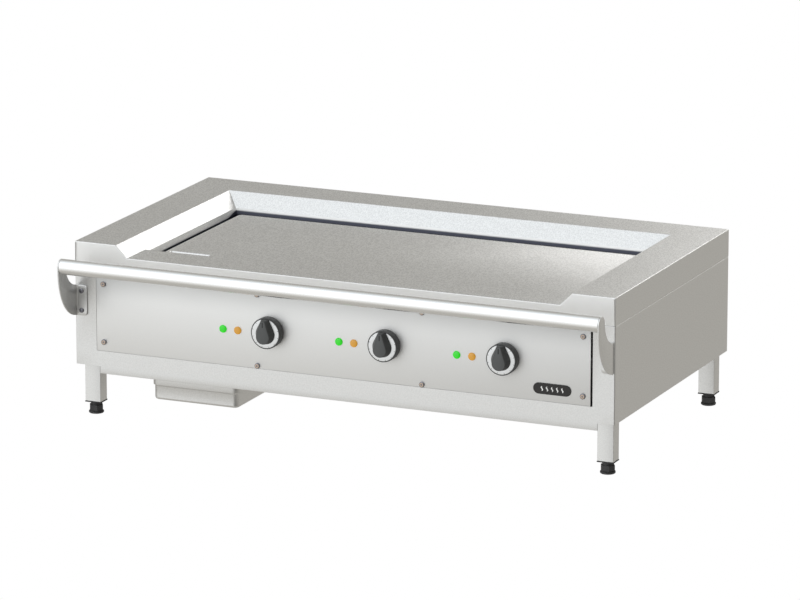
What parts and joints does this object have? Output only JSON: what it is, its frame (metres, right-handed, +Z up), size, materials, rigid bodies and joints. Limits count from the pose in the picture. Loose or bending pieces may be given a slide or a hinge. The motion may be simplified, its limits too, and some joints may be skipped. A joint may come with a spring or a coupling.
{
  "type": "flat top griddle",
  "caption": "Electric counter griddle: sunken steel plate with gutters, panel with knobs and pilot lamps, front hand rail, grease pan and levelling feet.",
  "frame": {"origin": "on the floor, under the middle of the overall width and depth, hand rail included", "axes": "+X to the right as the cook stands at the controls, +Y from the front to the back, +Z up"},
  "size_m": [1.2, 0.725, 0.372],
  "materials": {
    "satin_steel": "fine bead-blasted satin stainless steel",
    "griddle_steel": "ground cooking steel, fine speckle",
    "dark_fasteners": "dark zinc plated",
    "black_plastic": "fine moulded satin",
    "zinc_sheet": "zinc coated",
    "thermostat_ceramic": "unglazed steatite",
    "green_lens": "translucent",
    "amber_lens": "translucent",
    "badge_black": "lacquered",
    "element_sheath": "oxidised nickel alloy",
    "mineral_wool": "pressed fibre"
  },
  "bodies": {
    "cabinet": {"top_left": "satin_steel", "top_right": "satin_steel", "top_back": "satin_steel", "front_land": "satin_steel", "gutter_floor": "satin_steel", "drain_chute": "satin_steel", "cabinet_shell": "satin_steel", "base_plate": "satin_steel", "rear_cover": "satin_steel", "control_panel": "satin_steel", "hand_rail": "satin_steel", "rail_bracket_left": "satin_steel", "rail_bracket_right": "satin_steel", "crossbar": "satin_steel", "pan_cradle": "satin_steel", "leg_front_left": "satin_steel", "leg_front_right": "satin_steel", "leg_rear_left": "satin_steel", "leg_rear_right": "satin_steel", "griddle_plate": "griddle_steel", "panel_screw_1": "dark_fasteners", "panel_screw_2": "dark_fasteners", "panel_screw_3": "dark_fasteners", "panel_screw_4": "dark_fasteners", "panel_screw_5": "dark_fasteners", "panel_screw_6": "dark_fasteners", "panel_screw_7": "dark_fasteners", "panel_screw_8": "dark_fasteners", "bracket_bolt_1": "dark_fasteners", "bracket_bolt_2": "dark_fasteners", "bracket_bolt_3": "dark_fasteners", "bracket_bolt_4": "dark_fasteners", "cable_gland": "black_plastic", "foot_insert_front_left": "black_plastic", "foot_insert_front_right": "black_plastic", "foot_insert_rear_left": "black_plastic", "foot_insert_rear_right": "black_plastic", "heat_shield": "zinc_sheet", "thermostat_1": "thermostat_ceramic", "thermostat_2": "thermostat_ceramic", "thermostat_3": "thermostat_ceramic", "lamp_green_1": "green_lens", "lamp_green_2": "green_lens", "lamp_green_3": "green_lens", "lamp_amber_1": "amber_lens", "lamp_amber_2": "amber_lens", "lamp_amber_3": "amber_lens", "badge": "badge_black", "heating_element_1": "element_sheath", "heating_element_2": "element_sheath", "heating_element_3": "element_sheath", "insulation_slab": "mineral_wool"},
    "grease_pan": {"grease_pan": "satin_steel"},
    "knob_1": {"knob_1": "black_plastic"},
    "knob_2": {"knob_2": "black_plastic"},
    "knob_3": {"knob_3": "black_plastic"},
    "foot_front_left": {"levelling_foot_front_left": "black_plastic"},
    "foot_front_right": {"levelling_foot_front_right": "black_plastic"},
    "foot_rear_left": {"levelling_foot_rear_left": "black_plastic"},
    "foot_rear_right": {"levelling_foot_rear_right": "black_plastic"}
  },
  "joints": [
    {"name": "knob_1_turn", "type": "hinge", "parent": "cabinet", "child": "knob_1", "pos_m": [-0.158, -0.2775, 0.22475], "axis": [0, 1, 0], "range_deg": [0, 270]},
    {"name": "knob_2_turn", "type": "hinge", "parent": "cabinet", "child": "knob_2", "pos_m": [0.102, -0.2775, 0.22475], "axis": [0, 1, 0], "range_deg": [0, 270]},
    {"name": "knob_3_turn", "type": "hinge", "parent": "cabinet", "child": "knob_3", "pos_m": [0.362, -0.2775, 0.22475], "axis": [0, 1, 0], "range_deg": [0, 270]},
    {"name": "grease_pan_slide", "type": "slide", "parent": "cabinet", "child": "grease_pan", "axis": [0, -1, 0], "range_m": [0, 0.22]},
    {"name": "foot_front_left_height", "type": "slide", "parent": "cabinet", "child": "foot_front_left", "axis": [0, 0, -1], "range_m": [0, 0.02]},
    {"name": "foot_front_right_height", "type": "slide", "parent": "cabinet", "child": "foot_front_right", "axis": [0, 0, -1], "range_m": [0, 0.02]},
    {"name": "foot_rear_left_height", "type": "slide", "parent": "cabinet", "child": "foot_rear_left", "axis": [0, 0, -1], "range_m": [0, 0.02]},
    {"name": "foot_rear_right_height", "type": "slide", "parent": "cabinet", "child": "foot_rear_right", "axis": [0, 0, -1], "range_m": [0, 0.02]}
  ]
}
